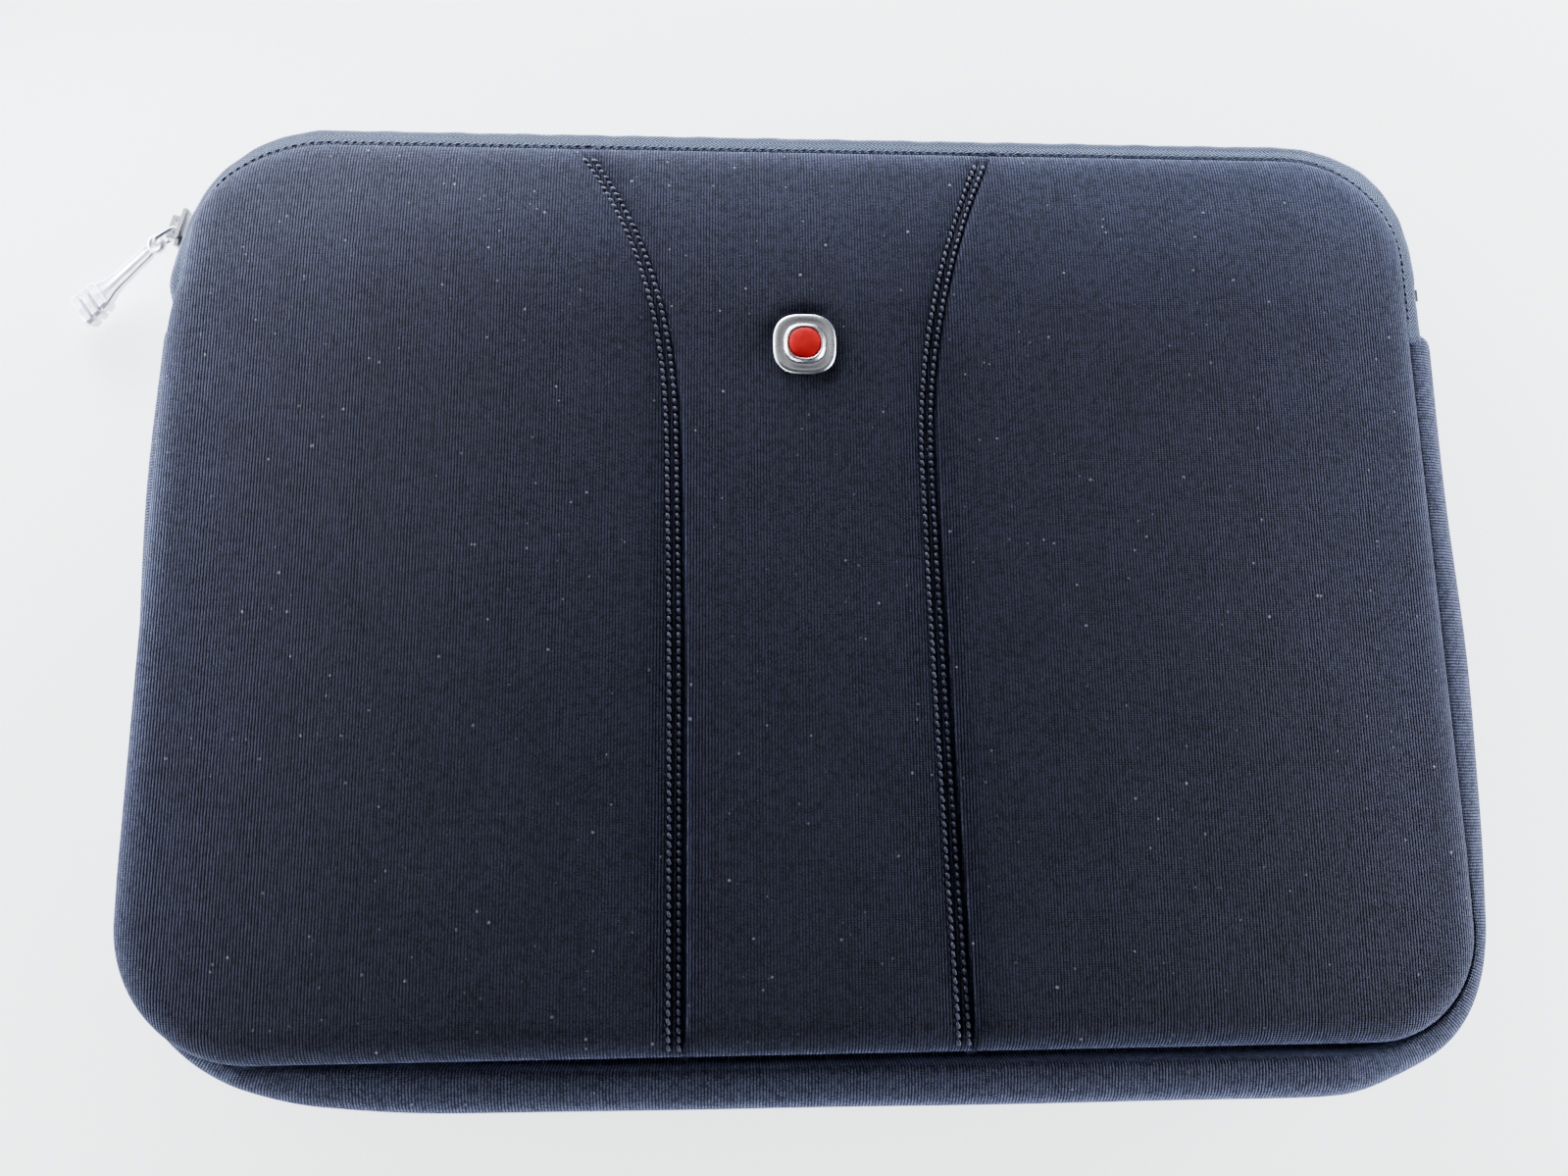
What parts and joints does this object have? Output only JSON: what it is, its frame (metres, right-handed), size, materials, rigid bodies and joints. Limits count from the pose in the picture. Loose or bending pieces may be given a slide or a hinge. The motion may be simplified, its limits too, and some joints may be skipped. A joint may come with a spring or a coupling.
{
  "type": "laptop sleeve",
  "caption": "Padded neoprene laptop sleeve with curved front seams, a rounded side band and a zip over the top that opens the mouth.",
  "frame": {"origin": "middle of the back panel's outer face, on which the sleeve lies", "axes": "+X to the right seen from the front, +Y towards the zip, +Z out of the front"},
  "size_m": [0.4216, 0.2866, 0.0306],
  "materials": {
    "neoprene": "black ribbed knit over neoprene",
    "band_neoprene": "black ribbed knit over neoprene, ribs across the band",
    "lining": "short plush",
    "thread": "twisted polyester thread",
    "binding": "woven tape",
    "zip_tape": "herringbone woven tape",
    "zip_coil": "nylon coil",
    "zip_metal": "plated zinc",
    "pull_metal": "satin cast zinc",
    "badge_metal": "satin",
    "badge_enamel": "red enamel"
  },
  "bodies": {
    "sleeve": {"back_panel": "neoprene", "back_lining": "lining", "side_band": "band_neoprene", "side_band_lining": "lining", "front_left_panel": "neoprene", "front_centre_panel": "neoprene", "front_right_panel": "neoprene", "front_lining": "lining", "left_seam_stitching": "thread", "right_seam_stitching": "thread", "front_binding": "binding", "back_binding": "binding", "front_tape_left_end": "zip_tape", "front_tape_right_end": "zip_tape", "back_zip_tape": "zip_tape", "back_coil": "zip_coil", "back_top_stop": "zip_metal", "bottom_stop": "zip_metal", "badge_bezel": "badge_metal", "badge_enamel": "badge_enamel", "badge_washer": "zip_metal"},
    "mouth_flap": {"front_left_flap": "neoprene", "front_centre_flap": "neoprene", "front_right_flap": "neoprene", "front_lining_flap": "lining", "left_flap_stitching": "thread", "right_flap_stitching": "thread", "front_zip_tape": "zip_tape", "front_coil": "zip_coil", "front_top_stop": "zip_metal"},
    "zip_slider": {"slider": "zip_metal"},
    "pull_link": {"pull_link": "zip_metal"},
    "pull": {"pull_bar": "pull_metal"}
  },
  "joints": [
    {"name": "mouth_open", "type": "hinge", "parent": "sleeve", "child": "mouth_flap", "pos_m": [0, 0.094, 0.0286], "axis": [1, 0, 0], "range_deg": [0, 60], "stiffness_Nm_per_rad": 0.02},
    {"name": "slider_travel", "type": "hinge", "parent": "sleeve", "child": "zip_slider", "pos_m": [-0.1474, 0.099, 0.014], "axis": [0, 0, 1], "range_deg": [-76, 0]},
    {"name": "link_swing", "type": "hinge", "parent": "zip_slider", "child": "pull_link", "pos_m": [-0.19271, 0.10988, 0.014], "axis": [0, 0, 1], "range_deg": [-60, 15]},
    {"name": "pull_swing", "type": "hinge", "parent": "pull_link", "child": "pull", "pos_m": [-0.19926, 0.10512, 0.01332], "axis": [-0.25, -0.1816, 0.9511], "range_deg": [-75, 20]}
  ]
}
